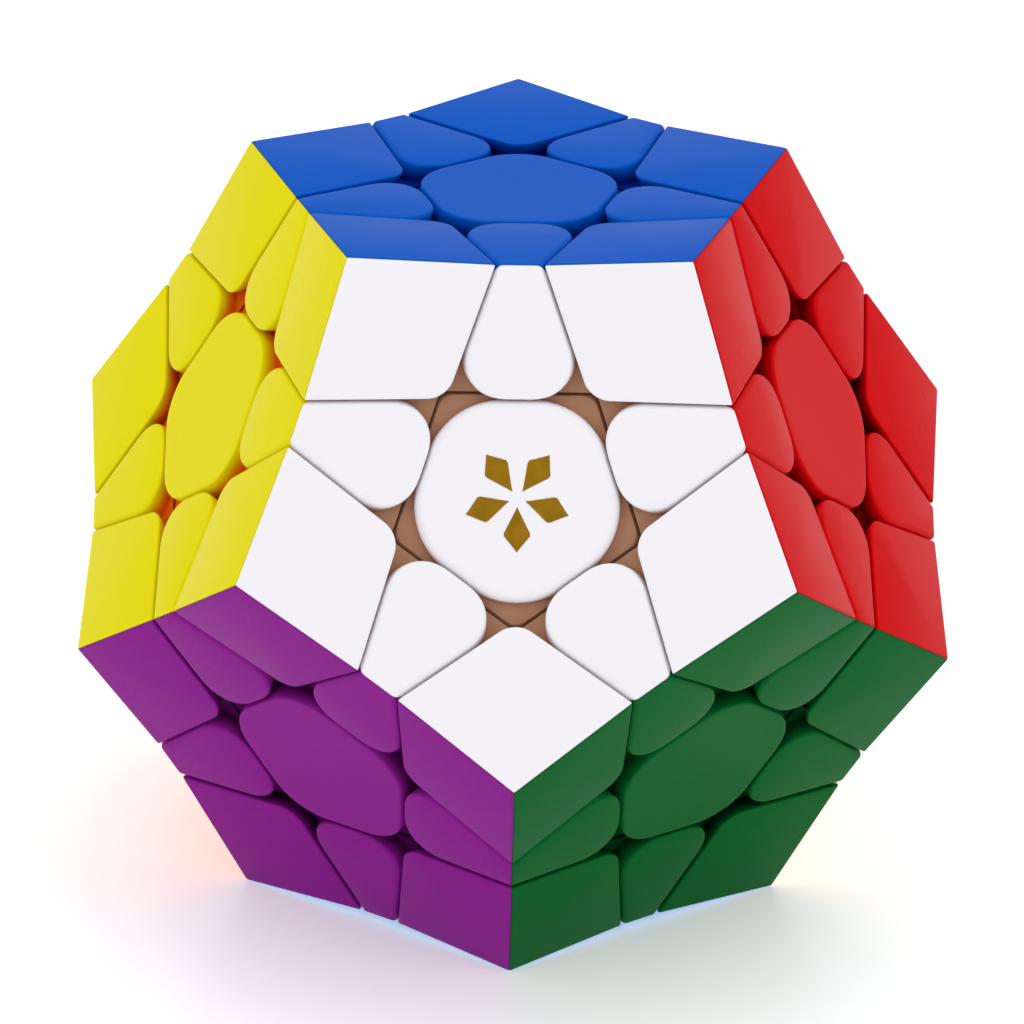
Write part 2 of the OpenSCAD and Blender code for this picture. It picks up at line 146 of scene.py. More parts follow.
paint_node("core_screws", plated_steel("zinc_plate", linear(214, 215, 220), 0.28))
spring_steel = plated_steel("spring_steel", linear(196, 196, 198), 0.34)
for node in ("tension_springs", "spring_washers"):
    paint_node(node, spring_steel)


# ---------------------------------------------------------------- Feet, necks and cups
# Each edge and corner piece is pressed onto a nylon insert, and each cap into a nylon cup. Their
# feet and stems are dark; from the feet out the necks and cups are painted with a darker shade of
# the face over them, painted shade for the gaps between the pieces. They are the CAD's own shapes.
FACES = {
    # name: (turn round the upright axis, row, colour of the plastic, painted shade for the gaps)
    "white": (-90, 1, linear(240, 238, 243), linear(184, 138, 110)),
    "red": (-18, 1, linear(205, 3, 10), linear(120, 2, 8)),
    "pink": (54, 1, linear(240, 120, 165), linear(196, 60, 100)),
    "lime": (126, 1, linear(120, 206, 24), linear(60, 140, 12)),
    "yellow": (198, 1, linear(228, 217, 0), linear(226, 104, 12)),
    "green": (-54, -1, linear(0, 93, 36), linear(0, 60, 24)),
    "cream": (18, -1, linear(244, 230, 182), linear(196, 150, 96)),
    "grey": (90, -1, linear(126, 128, 133), linear(74, 74, 78)),
    "orange": (162, -1, linear(246, 108, 8), linear(190, 50, 4)),
    "purple": (234, -1, linear(132, 24, 134), linear(84, 8, 84)),
    "blue": (0, 2, linear(0, 84, 188), linear(0, 40, 140)),
    "sky": (0, -2, linear(100, 178, 228), linear(40, 110, 180)),
}
FACE_TILT = math.atan(2)  # between the axes of two faces that meet
LAYERS = ("red", "yellow", "grey")
FOOT_TOP = 0.0203  # how far from the middle the painted shade begins
SHADE_FADE = 0.0004


def face_axis(name):
    """The unit vector from the core out through the middle of a face."""
    turn, row = FACES[name][:2]
    if abs(row) == 2:
        return Vector((0, 0, 1 if row > 0 else -1))
    tilt = FACE_TILT if row > 0 else math.pi - FACE_TILT
    turn = math.radians(turn)
    return Vector((math.sin(tilt) * math.cos(turn), math.sin(tilt) * math.sin(turn), math.cos(tilt)))


AXES = {name: face_axis(name) for name in FACES}


def dyed_nylon():
    """Dark nylon, painted above the feet with the darker shade of the nearest face as painted shade for
    the gaps.
    """
    dark = linear(52, 50, 52)
    made, tree, shader = new_material("dyed_nylon", dark, 0.4)
    add, link = tree.nodes.new, tree.links.new
    place = add("ShaderNodeTexCoord").outputs["Object"]
    nearest, shade = None, None
    # Painted shade: above the feet each point takes the darker colour of the face it lies under.
    for name, (_, _, _, painted_shade) in FACES.items():
        reach = add("ShaderNodeVectorMath")
        reach.operation = "DOT_PRODUCT"
        reach.inputs[1].default_value = AXES[name]
        link(place, reach.inputs[0])
        here = reach.outputs["Value"]
        mix = add("ShaderNodeMix")
        mix.data_type = "RGBA"
        mix.inputs["B"].default_value = painted_shade
        if nearest is None:
            mix.inputs["Factor"].default_value = 1.0
            nearest = here
        else:
            nearer, further = add("ShaderNodeMath"), add("ShaderNodeMath")
            nearer.operation, further.operation = "GREATER_THAN", "MAXIMUM"
            for node in (nearer, further):
                link(here, node.inputs[0])
                link(nearest, node.inputs[1])
            link(nearer.outputs["Value"], mix.inputs["Factor"])
            link(shade, mix.inputs["A"])
            nearest = further.outputs["Value"]
        shade = mix.outputs["Result"]
    height = add("ShaderNodeVectorMath")
    height.operation = "LENGTH"
    link(place, height.inputs[0])
    dyed = add("ShaderNodeMapRange")
    dyed.inputs["From Min"].default_value = FOOT_TOP
    dyed.inputs["From Max"].default_value = FOOT_TOP + SHADE_FADE
    link(height.outputs["Value"], dyed.inputs["Value"])
    both = add("ShaderNodeMix")
    both.data_type = "RGBA"
    both.inputs["A"].default_value = dark
    link(shade, both.inputs["B"])
    link(dyed.outputs["Result"], both.inputs["Factor"])
    clouds = add_noise(tree, 260.0, 4.0)
    worn = add("ShaderNodeMix")
    worn.data_type = "RGBA"
    worn.blend_type = "MULTIPLY"
    worn.inputs["B"].default_value = (0.88, 0.88, 0.88, 1.0)
    link(clouds, worn.inputs["Factor"])
    link(both.outputs["Result"], worn.inputs["A"])
    link(worn.outputs["Result"], shader.inputs["Base Color"])
    add_range(tree, clouds, 0.34, 0.5, shader.inputs["Roughness"])
    add_bump(tree, shader, add_noise(tree, 2600.0, 3.0), 0.25, 0.00003)
    return made


# The necks, cups and stems carry painted shade above their feet.
necks = dyed_nylon()
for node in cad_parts:
    if node.endswith(("_feet", "_base", "_bases")):
        paint_node(node, necks)


# ---------------------------------------------------------------- Corner pieces
# Twenty corner pieces, each of three shells welded along the ridges, of ABS coloured right
# through and moulded against a polished die. A shell is a flat tile that falls towards the
# middle of its face, with a thin wall round it.
# Painted shade: how far under the tile the walls start and stop turning darker.
PAINTED_SHADE_START = 0.0003
PAINTED_SHADE_END = 0.0016


def moulded_plastic(name, colour, painted_shade):
    """Glossy plastic with shade painted in: down the walls its colour turns darker and warmer, a painted
    shade for the gaps and for the light that soaks through the plastic.
    """
    made, tree, shader = new_material(name + "_plastic", colour, 0.24)
    shader.inputs["IOR"].default_value = 1.46
    shader.inputs["Specular IOR Level"].default_value = 0.03
    shader.inputs["Coat Weight"].default_value = 0.02
    shader.inputs["Coat Roughness"].default_value = 0.1
    wear = add_noise(tree, 90.0, 5.0)
    add_range(tree, wear, 0.2, 0.3, shader.inputs["Roughness"])
    shades = tree.nodes.new("ShaderNodeMix")
    shades.data_type = "RGBA"
    shades.inputs["A"].default_value = shaded(colour, 0.97)
    shades.inputs["B"].default_value = shaded(colour, 1.02)
    tree.links.new(wear, shades.inputs["Factor"])
    # Painted shade: the colour darkens with the depth under the tile.
    depth = tree.nodes.new("ShaderNodeAttribute")
    depth.attribute_name = "depth"
    shade_amount = tree.nodes.new("ShaderNodeMapRange")
    shade_amount.interpolation_type = "SMOOTHSTEP"
    shade_amount.inputs["From Min"].default_value = PAINTED_SHADE_START
    shade_amount.inputs["From Max"].default_value = PAINTED_SHADE_END
    tree.links.new(depth.outputs["Fac"], shade_amount.inputs["Value"])
    with_painted_shade = tree.nodes.new("ShaderNodeMix")
    with_painted_shade.data_type = "RGBA"
    with_painted_shade.inputs["B"].default_value = painted_shade
    tree.links.new(shades.outputs["Result"], with_painted_shade.inputs["A"])
    tree.links.new(shade_amount.outputs["Result"], with_painted_shade.inputs["Factor"])
    tree.links.new(with_painted_shade.outputs["Result"], shader.inputs["Base Color"])
    add_bump(tree, shader, add_noise(tree, 900.0, 4.0), 0.3, 0.00001)
    return made


PLASTICS = {name: moulded_plastic(name, *entry[2:]) for name, entry in FACES.items()}
EDGE = 0.031
EDGE_TILE = 0.00345
DISH_TILT = math.radians(4.9)
GAP = 0.0003
TRACK_ANGLE = math.radians(45)
PLAY = 0.0001
WALL = 0.0014
SEAM = 0.00004
RIM = 0.00035
CORNER_ROUND = 0.0027
PHI = (1 + math.sqrt(5)) / 2
FACE_R = EDGE * math.sqrt(250 + 110 * math.sqrt(5)) / 20
EDGE_R = EDGE * PHI * PHI / 2
CORNER_R = EDGE * math.sqrt(3) * PHI / 2
EDGE_TURN = FACE_TILT / 2
END_TURN = math.pi / 2 - EDGE_TURN
CORNER_TURN = math.acos(FACE_R / CORNER_R)
SIDE_FALL = math.tan(DISH_TILT) * math.cos(math.radians(54))
CORNER_LEN = (EDGE - EDGE_TILE) / 2
CAP_H = FACE_R - 2 * SIDE_FALL * CORNER_LEN
CUT_H = FACE_R - CORNER_LEN * (math.sin(math.radians(72)) * math.sin(FACE_TILT)
                               + SIDE_FALL * math.cos(FACE_TILT))
SHELL_FLOOR = CUT_H / math.cos(TRACK_ANGLE) + 2 * PLAY
CAP_FLOOR = SHELL_FLOOR * math.cos(FACE_TILT - TRACK_ANGLE)
FLANGE = 0.0009
FLANGE_DEPTH = CAP_H - CAP_FLOOR - FLANGE
SKIN = 0.00001
BLOCK = 0.2  # side of the block that the pieces are carved from
NEAR_PLANE = 1e-8
SAME_WAY = 0.9999  # cosine above which two normals count as one
RIM_SEGMENTS = 4
CORNER_SEGMENTS = 10
THIRDS = [math.radians(a) for a in (0, 120, 240)]


def polar(turn, tilt):
    """A direction leaning tilt from +Z towards turn, both in radians."""
    return Vector((math.sin(tilt) * math.cos(turn), math.sin(tilt) * math.sin(turn), math.cos(tilt)))


def keep_side(mesh, normal, distance):
    """Cuts a closed solid by a plane, keeps what lies under it and closes the cut."""
    cut = bmesh.ops.bisect_plane(
        mesh, geom=mesh.verts[:] + mesh.edges[:] + mesh.faces[:], dist=NEAR_PLANE,
        plane_co=normal * distance, plane_no=normal, clear_outer=True)
    rim = [e for e in cut["geom_cut"] if isinstance(e, bmesh.types.BMEdge)]
    bmesh.ops.contextual_create(mesh, geom=rim)


def carve(planes):
    """The solid that lies under every plane, each given as its outward normal and distance."""
    mesh = bmesh.new()
    bmesh.ops.create_cube(mesh, size=BLOCK)
    for normal, distance in planes:
        keep_side(mesh, normal, distance)
    bmesh.ops.recalc_face_normals(mesh, faces=mesh.faces)
    return mesh


def between(mesh, normal_a, normal_b):
    """The edges of a carved solid where the planes with these two normals meet."""
    wanted = (normal_a, normal_b)
    found = []
    for edge in mesh.edges:
        if len(edge.link_faces) != 2:
            continue
        first, second = (face.normal for face in edge.link_faces)
        if any(first.dot(a) > SAME_WAY and second.dot(b) > SAME_WAY
               for a, b in (wanted, wanted[::-1])):
            found.append(edge)
    return found


def round_edges(mesh, edges, radius, steps):
    """Rolls an arc of the given radius along edges that meet two flat sides."""
    edge = edges[0]
    first, second = (face.normal for face in edge.link_faces)
    width = radius * math.tan(first.angle(second) / 2)
    bmesh.ops.bevel(mesh, geom=edges, offset=width, offset_type="OFFSET", segments=steps,
                    profile=0.5, affect="EDGES", clamp_overlap=False)


def round_rims(mesh, tiles, radius, steps):
    """Breaks the crisp rims of the tiles, given by their normals, with a small even radius."""
    edges = [e for e in mesh.edges if len(e.link_faces) == 2
             and any(f.normal.dot(t) > SAME_WAY for f in e.link_faces for t in tiles)]
    bmesh.ops.bevel(mesh, geom=edges, offset=radius, offset_type="OFFSET", segments=steps,
                    profile=0.5, affect="EDGES", clamp_overlap=True)


def mark_depth(data, normal, distance):
    """Marks every point of a moulding with how far it lies under its tile."""
    depth = data.attributes.new("depth", "FLOAT", "POINT")
    for i, vertex in enumerate(data.vertices):
        depth.data[i].value = max(0.0, distance - normal.dot(vertex.co))


def make_object(name, mesh):
    """A plain object from a finished bmesh, in the piece's own frame: +Z out of the puzzle."""
    data = bpy.data.meshes.new(name)
    mesh.to_mesh(data)
    mesh.free()
    made = bpy.data.objects.new(name, data)
    bpy.context.scene.collection.objects.link(made)
    return made


def corner_planes(inset, sectors):
    """The planes of a corner piece, `inset` inside its faces, with the tiles of some sectors."""
    tile_h = CORNER_R * math.cos(CORNER_TURN + DISH_TILT)
    planes = [(polar(THIRDS[i], CORNER_TURN + DISH_TILT), tile_h - inset) for i in sectors]
    planes += [(-polar(a, CORNER_TURN), -(CUT_H + GAP / 2 + inset)) for a in THIRDS]
    return planes


def corner_block(inset, radius, rim):
    """A whole corner piece as one solid: rounded inner corners, and rims broken if rim is given."""
    mesh = carve(corner_planes(inset, (0, 1, 2)))
    cuts = [-polar(a, CORNER_TURN) for a in THIRDS]
    arrises = [e for i in range(3) for e in between(mesh, cuts[i], cuts[(i + 1) % 3])]
    round_edges(mesh, arrises, radius, CORNER_SEGMENTS)
    if rim:
        round_rims(mesh, [polar(a, CORNER_TURN + DISH_TILT) for a in THIRDS], rim, RIM_SEGMENTS)
    return mesh


def combine(piece, other, operation):
    """Adds a second solid to a piece or cuts it out."""
    tool = make_object("tool", other)
    boolean = piece.modifiers.new("combine", "BOOLEAN")
    boolean.operation = operation
    boolean.solver = "EXACT"
    boolean.object = tool
    graph = bpy.context.evaluated_depsgraph_get()
    data = bpy.data.meshes.new_from_object(piece.evaluated_get(graph))
    piece.modifiers.clear()
    piece.data = data
    bpy.data.objects.remove(tool)


def split_off(piece, sides):
    """Keeps what lies under each of the planes and closes the cuts."""
    mesh = bmesh.new()
    mesh.from_mesh(piece.data)
    for normal, distance in sides:
        keep_side(mesh, normal, distance)
    mesh.to_mesh(piece.data)
    mesh.free()


def floor_ball():
    """The ball that the shells stop short of, where the shoulders of the necks lie."""
    ball = bmesh.new()
    bmesh.ops.create_icosphere(ball, subdivisions=5, radius=SHELL_FLOOR)
    return ball


def corner_tile():
    """One of the three shells of a corner piece, towards +X, with its flange under the hole."""
    piece = make_object("corner_tile", corner_block(0, CORNER_ROUND, RIM))
    tile, height = corner_planes(0, (0,))[0]
    combine(piece, carve([(tile, height - FLANGE_DEPTH)] + corner_planes(SKIN, ())), "UNION")
    seams = [polar(side * math.radians(150), math.pi / 2) for side in (-1, 1)]
    split_off(piece, [(seam, -SEAM / 2) for seam in seams])
    combine(piece, corner_block(WALL, CORNER_ROUND - WALL, None), "DIFFERENCE")
    combine(piece, floor_ball(), "DIFFERENCE")
    mark_depth(piece.data, tile, height)
    return piece


corner_shell = corner_tile()


# ---------------------------------------------------------------- Edge pieces
# Thirty edge pieces, each of two shells. An edge piece is narrow where its faces meet and wide
# towards the centres, where its two corners are well rounded.
EDGE_ROUND = 0.0029
EDGE_SEGMENTS = 12
EDGE_TILT = math.atan(SIDE_FALL / math.sin(math.radians(72)))
EDGE_TILE_H = EDGE_R * math.cos(EDGE_TURN + EDGE_TILT) - SIDE_FALL * CORNER_LEN * math.cos(EDGE_TILT)


def edge_planes(inset):
    """The planes of an edge piece, `inset` inside its faces: two tiles, two cuts and two ends."""
    planes = [(polar(a, EDGE_TURN + EDGE_TILT), EDGE_TILE_H - inset) for a in (0, math.pi)]
    planes += [(-polar(a, EDGE_TURN), -(CUT_H + GAP / 2 + inset)) for a in (0, math.pi)]
    planes += [(polar(a, END_TURN), CUT_H - GAP / 2 - inset) for a in (math.pi / 2, -math.pi / 2)]
    return planes


def edge_block(inset, radius, rim):
    """A whole edge piece as one solid, `inset` inside its faces."""
    planes = edge_planes(inset)
    mesh = carve(planes)
    tiles, cuts, ends = ([normal for normal, _ in planes[i:i + 2]] for i in (0, 2, 4))
    arrises = [e for c in cuts for end in ends for e in between(mesh, c, end)]
    round_edges(mesh, arrises, radius, EDGE_SEGMENTS)
    if rim:
        round_rims(mesh, tiles, rim, RIM_SEGMENTS)
    return mesh


def edge_tile():
    """One of the two shells of an edge piece, towards +X, with its flanges under the holes."""
    piece = make_object("edge_tile", edge_block(0, EDGE_ROUND, RIM))
    tile, height = edge_planes(0)[0]
    combine(piece, carve([(tile, height - FLANGE_DEPTH)] + edge_planes(SKIN)[2:]), "UNION")
    split_off(piece, [(Vector((-1, 0, 0)), -SEAM / 2)])
    combine(piece, edge_block(WALL, EDGE_ROUND - WALL, None), "DIFFERENCE")
    combine(piece, floor_ball(), "DIFFERENCE")
    mark_depth(piece.data, tile, height)
    return piece


edge_shell = edge_tile()


# ---------------------------------------------------------------- Setting the shells in place
# The twenty corners and thirty edges are copies of two mouldings, turned to their places round
# the core, and each colour is moulded in its own plastic.
MEETING = 0.4  # cosine between two axes: 0.447 where faces meet, less where they do not
SHADE_ANGLE = 32


def meets(a, b):
    return a != b and AXES[a].dot(AXES[b]) > MEETING


NAMES = list(FACES)
EDGES = [(a, b) for i, a in enumerate(NAMES) for b in NAMES[i + 1:] if meets(a, b)]
CORNERS = [(a, b, c) for a, b in EDGES for c in NAMES[NAMES.index(b) + 1:]
           if meets(a, c) and meets(b, c)]


def body_of(piece):
    """The body that a piece belongs to: a turning layer, or the core's."""
    owner = [name for name in LAYERS if name in piece]
    return owner[0] + "_layer" if owner else "core"


def turn_to(piece, face):
    """The turn that takes a piece's own +Z out to its place, and its +X towards a face."""
    out = sum((AXES[name] for name in piece), Vector()).normalized()
    toward = AXES[face] if len(piece) > 1 else next(AXES[n] for n in NAMES if meets(face, n))
    side = (toward - out * toward.dot(out)).normalized()
    return Matrix((side, out.cross(side), out)).transposed()


def setting_tree():
    """Copies one moulding onto every point, turned as the point says, in one plastic."""
    tree = bpy.data.node_groups.new("set_pieces", "GeometryNodeTree")
    places = tree.interface.new_socket("Places", in_out="INPUT", socket_type="NodeSocketGeometry")
    places.description = "Points that carry the turn of each piece"
    tree.interface.new_socket("Moulding", in_out="INPUT", socket_type="NodeSocketObject")
    tree.interface.new_socket("Plastic", in_out="INPUT", socket_type="NodeSocketMaterial")
    tree.interface.new_socket("Pieces", in_out="OUTPUT", socket_type="NodeSocketGeometry")
    add, link = tree.nodes.new, tree.links.new
    start, end = add("NodeGroupInput"), add("NodeGroupOutput")
    moulding = add("GeometryNodeObjectInfo")
    turn = add("GeometryNodeInputNamedAttribute")
    turn.data_type = "FLOAT_VECTOR"
    turn.inputs["Name"].default_value = "turn"
    rotation = add("FunctionNodeEulerToRotation")
    copies = add("GeometryNodeInstanceOnPoints")
    realize = add("GeometryNodeRealizeInstances")
    paint = add("GeometryNodeSetMaterial")
    link(start.outputs["Moulding"], moulding.inputs["Object"])
    link(start.outputs["Places"], copies.inputs["Points"])
    link(moulding.outputs["Geometry"], copies.inputs["Instance"])
    link(turn.outputs["Attribute"], rotation.inputs["Euler"])
    link(rotation.outputs["Rotation"], copies.inputs["Rotation"])
    link(copies.outputs["Instances"], realize.inputs["Geometry"])
    link(realize.outputs["Geometry"], paint.inputs["Geometry"])
    link(start.outputs["Plastic"], paint.inputs["Material"])
    link(paint.outputs["Geometry"], end.inputs["Pieces"])
    return tree


SET_PIECES = setting_tree()


def shade_by_angle(data, degrees):
    """Smooth shading that stays crisp across edges sharper than the angle."""
    data.polygons.foreach_set("use_smooth", [True] * len(data.polygons))
    mesh = bmesh.new()
    mesh.from_mesh(data)
    for edge in mesh.edges:
        edge.smooth = len(edge.link_faces) == 2 and edge.calc_face_angle(0) < math.radians(degrees)
    mesh.to_mesh(data)
    mesh.free()


def set_pieces(name, moulding, turns, plastic):
    """One plain object that holds a moulding at each turn."""
    points = bpy.data.meshes.new(name + "_places")
    points.from_pydata([(0, 0, 0)] * len(turns), [], [])
    attribute = points.attributes.new("turn", "FLOAT_VECTOR", "POINT")
    for i, turn in enumerate(turns):
        attribute.data[i].vector = turn.to_euler("XYZ")
    holder = bpy.data.objects.new(name + "_holder", points)
    bpy.context.scene.collection.objects.link(holder)
    modifier = holder.modifiers.new("set", "NODES")
    modifier.node_group = SET_PIECES
    sockets = {s.name: s.identifier for s in SET_PIECES.interface.items_tree if s.in_out == "INPUT"}
    modifier[sockets["Moulding"]] = moulding
    modifier[sockets["Plastic"]] = plastic
    graph = bpy.context.evaluated_depsgraph_get()
    data = bpy.data.meshes.new_from_object(holder.evaluated_get(graph))
    bpy.data.objects.remove(holder)
    data.name = name
    data.materials.clear()
    data.materials.append(plastic)
    shade_by_angle(data, SHADE_ANGLE)
    made = bpy.data.objects.new(name, data)
    bpy.context.scene.collection.objects.link(made)
    return made


def shells_node(body, colour, kind):
    """The CAD node that holds a body's shells of one colour."""
    if body == "core":
        return colour + "_shells"
    if body == colour + "_layer":
        return f"{colour}_{kind}_shells"
    return f"{body}_{colour}_shells"


for kind, moulding, places in (("corner", corner_shell, CORNERS), ("edge", edge_shell, EDGES)):
    for body in ("core",) + tuple(name + "_layer" for name in LAYERS):
        for colour in NAMES:
            turns = [turn_to(p, colour) for p in places if colour in p and body_of(p) == body]
            if not turns:
                continue
            piece = set_pieces(f"{body}_{colour}_{kind}_tiles", moulding, turns, PLASTICS[colour])
            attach(piece, body)
            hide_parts(shells_node(body, colour, kind))
for moulding in (corner_shell, edge_shell):
    bpy.data.objects.remove(moulding)


# ---------------------------------------------------------------- The centres
# Each centre is a cup and stem on its screw, with a moulded cap pressed into it: a
# pentagon with rounded corners. Below the rim its sides splay out and its corners drop straight, and
# a flange at its foot closes the holes where four pieces meet. The white cap is softer and hollowed.
CAP_ROUND = 0.0046
CUP_BORE = 0.0046
SPIGOT_WALL = 0.001
SPIGOT_DEPTH = 0.0015
FLANGE_ROUND = 0.0014
FLANGE_RIM = 0.00015
ARC_STEPS = 12
FLANGE_STEPS = 4
SIDE_STEPS = 5
RIM_STEPS = 8
DISH_STEPS = 16
SMALLEST = 0.00001  # keeps a ring's corners from shrinking to its sides


def pentagon(flat, radius, height, steps):
    """A pentagon with rounded corners as a ring of points; flat is the distance to its sides."""
    ring = []
    reach = (flat - radius) / math.cos(math.radians(36))
    for corner in range(5):
        middle = math.radians(36 + 72 * corner)
        centre = Vector((math.cos(middle), math.sin(middle), 0)) * reach
        for i in range(steps + 1):
            a = middle + math.radians(36) * (2 * i / steps - 1)
            ring.append(centre + Vector((math.cos(a), math.sin(a), 0)) * radius + Vector((0, 0, height)))
        following = middle + math.radians(36)
        ring.append(Vector((math.cos(following), math.sin(following), 0)) * flat + Vector((0, 0, height)))
    return ring


def loft(rings):
    """A closed skin through rings of equally many points, first and last filled with a fan."""
    mesh = bmesh.new()
    rows = [[mesh.verts.new(p) for p in ring] for ring in rings]
    count = len(rows[0])
    for lower, upper in zip(rows, rows[1:]):
        for i in range(count):
            j = (i + 1) % count
            mesh.faces.new((lower[i], lower[j], upper[j], upper[i]))
    for row, flip in ((rows[0], True), (rows[-1], False)):
        middle = mesh.verts.new(sum((v.co for v in row), Vector()) / count)
        for i in range(count):
            j = (i + 1) % count
            trio = (row[j], row[i], middle) if flip else (row[i], row[j], middle)
            mesh.faces.new(trio)
    bmesh.ops.remove_doubles(mesh, verts=mesh.verts, dist=1e-7)
    bmesh.ops.dissolve_degenerate(mesh, edges=mesh.edges, dist=1e-7)
    bmesh.ops.recalc_face_normals(mesh, faces=mesh.faces)
    return mesh


def cap_mesh(rim, dish):
    """A cap in its own frame, with a rim of the given radius and a top hollowed by `dish`."""
    corner_share = math.cos(math.radians(36))
    slope = math.atan(0.5)

    def flat_at(height):
        return (CUT_H - GAP / 2 - height * math.cos(FACE_TILT)) / math.sin(FACE_TILT)

    def level(height, flat, corner):
        """A ring whose sides are `flat` from the axis and whose corners reach out to `corner`."""
        round_off = (flat - corner * corner_share) / (1 - corner_share)
        return pentagon(flat, round_off, height, ARC_STEPS)

    def circle(radius, height):
        return [Vector((p.x, p.y, 0)).normalized() * radius + Vector((0, 0, height))
                for p in pentagon(flat_at(CAP_H), CAP_ROUND, 0, ARC_STEPS)]

    spigot = CUP_BORE - PLAY
    pocket = spigot - SPIGOT_WALL
    corner_reach = (flat_at(CAP_H) - CAP_ROUND) / corner_share + CAP_ROUND
    rings = [circle(pocket, CAP_H - WALL), circle(pocket, CAP_FLOOR - SPIGOT_DEPTH),
             circle(spigot, CAP_FLOOR - SPIGOT_DEPTH), circle(spigot, CAP_FLOOR)]
    flange_top = CAP_FLOOR + FLANGE
    for i in range(FLANGE_STEPS + 1):
        turned = math.radians(90 * i / FLANGE_STEPS)
        height = flange_top - FLANGE_RIM * (1 - math.sin(turned))
        drawn_in = FLANGE_RIM * (1 - math.cos(turned))
        if i == 0:
            rings.append(pentagon(flat_at(CAP_FLOOR), FLANGE_ROUND, CAP_FLOOR, ARC_STEPS))
        flat = flat_at(height)
        rings.append(level(height, flat, (flat - FLANGE_ROUND) / corner_share + FLANGE_ROUND - drawn_in))
    side_foot = CAP_H - rim * (1 - math.sin(slope))
    for i in range(SIDE_STEPS):
        height = flange_top + (side_foot - flange_top) * i / SIDE_STEPS
        flat = flat_at(height)
        rings.append(level(height, flat, max(corner_reach, flat + SMALLEST)))
    top_flat = flat_at(side_foot) - rim * math.cos(slope)
    for i in range(RIM_STEPS + 1):
        a = slope + (math.pi / 2 - slope) * i / RIM_STEPS
        rings.append(level(CAP_H - rim * (1 - math.sin(a)), top_flat + rim * math.cos(a),
                           corner_reach - rim * (1 - math.cos(a))))
    top = rings[-1]
    for i in range(1, DISH_STEPS):
        inward = 1 - i / DISH_STEPS
        fall = dish * (1 - inward ** 2) ** 2
        rings.append([Vector((p.x * inward, p.y * inward, CAP_H - fall)) for p in top])
    return loft(rings)


CAP_RIM = 0.00028
PLAIN_DISH = 0.00003
WHITE_RIM = 0.001
WHITE_DISH = 0.00025
plain_cap = make_object("plain_cap", cap_mesh(CAP_RIM, PLAIN_DISH))
white_cap = make_object("dished_cap", cap_mesh(WHITE_RIM, WHITE_DISH))
# The depth gives the caps' walls and flange their painted shade.
for moulding in (plain_cap, white_cap):
    mark_depth(moulding.data, Vector((0, 0, 1)), CAP_H)
for name in NAMES:
    body = body_of((name,))
    piece = set_pieces(name + "_center_cap", white_cap if name == "white" else plain_cap,
                       [turn_to((name,), name)], PLASTICS[name])
    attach(piece, body)
    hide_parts(name + "_cap")
bpy.data.objects.remove(plain_cap)


# ---------------------------------------------------------------- The emblem
# A rosette of five kite-shaped petals in gold foil, hot-stamped into the hollow of the white cap.
# The foil follows the hollow and stands up only by its own thickness.
FOIL = 0.00003
PETAL_START = 0.0008
PETAL_END = 0.0048
PETAL_HALF_WIDTH = 0.00125
PETAL_WIDEST = 0.62  # how far along a petal is widest
PETAL_ROWS = 14
PETAL_COLUMNS = 6


def gold_foil():
    colour = linear(166, 124, 28)
    made, tree, shader = new_material("gold_foil", colour, 0.34)
    shader.inputs["Metallic"].default_value = 1.0
    grain = add_noise(tree, 800.0, 4.0)
    add_shades(tree, shader, grain, shaded(colour, 0.82), shaded(colour, 1.12))
    add_range(tree, grain, 0.26, 0.46, shader.inputs["Roughness"])
    add_bump(tree, shader, add_noise(tree, 3600.0, 3.0), 0.25, 0.00001)
    return made


def petal_mesh(surface):
    """One petal towards a corner of the cap, its two sheets laid just over and under the surface."""
    mesh = bmesh.new()
    to_corner = Matrix.Rotation(math.radians(36), 3, "Z")

    def laid(along, aside, lift):
        narrowing = min(along / PETAL_WIDEST, (1 - along) / (1 - PETAL_WIDEST))
        out = PETAL_START + (PETAL_END - PETAL_START) * along
        spot = to_corner @ Vector((out, aside * max(PETAL_HALF_WIDTH * narrowing, FOIL), 2 * CAP_H))
        hit = surface.ray_cast(spot, Vector((0, 0, -1)))[0]
        return mesh.verts.new(hit + Vector((0, 0, lift)))

    def border(sheet):
        right = [row[-1] for row in sheet[1:]]
        left = [row[0] for row in sheet[-2:0:-1]]
        return sheet[0] + right + sheet[-1][-2::-1] + left

    lower, upper = ([[laid(i / PETAL_ROWS, 2 * j / PETAL_COLUMNS - 1, lift)
                      for j in range(PETAL_COLUMNS + 1)] for i in range(PETAL_ROWS + 1)]
                    for lift in (-FOIL, FOIL))
    for sheet in (lower, upper):
        for row, further in zip(sheet, sheet[1:]):
            for j in range(PETAL_COLUMNS):
                mesh.faces.new((row[j], further[j], further[j + 1], row[j + 1]))
    under, over = border(lower), border(upper)
    for i in range(len(under)):
        j = (i + 1) % len(under)
        mesh.faces.new((under[i], under[j], over[j], over[i]))
    bmesh.ops.recalc_face_normals(mesh, faces=mesh.faces)
    return mesh


white_top = BVHTree.FromObject(white_cap, bpy.context.evaluated_depsgraph_get())
petal = make_object("petal", petal_mesh(white_top))
white_turn = turn_to(("white",), "white")
petal_turns = [white_turn @ Matrix.Rotation(math.radians(72 * i), 3, "Z") for i in range(5)]
rosette = set_pieces("white_cap_rosette", petal, petal_turns, gold_foil())
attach(rosette, "core")
for moulding in (petal, white_cap):
    bpy.data.objects.remove(moulding)


# ---------------------------------------------------------------- The table, the light and the camera
# The puzzle stands on five of its corner tips on a white, faintly glossy table, in the light of
# large soft boxes.
TABLE_HALF = 6.0
DAYLIGHT = 0.72
CAMERA_SIDE = -0.166 * EDGE
CAMERA_DEPTH = -18.201 * EDGE
CAMERA_HEIGHT = 7.971 * EDGE
CAMERA_DOWN = math.radians(23.604)
CAMERA_TURN = math.radians(0.5025)
CAMERA_ROLL = math.radians(0.888)
LENS = 229.6


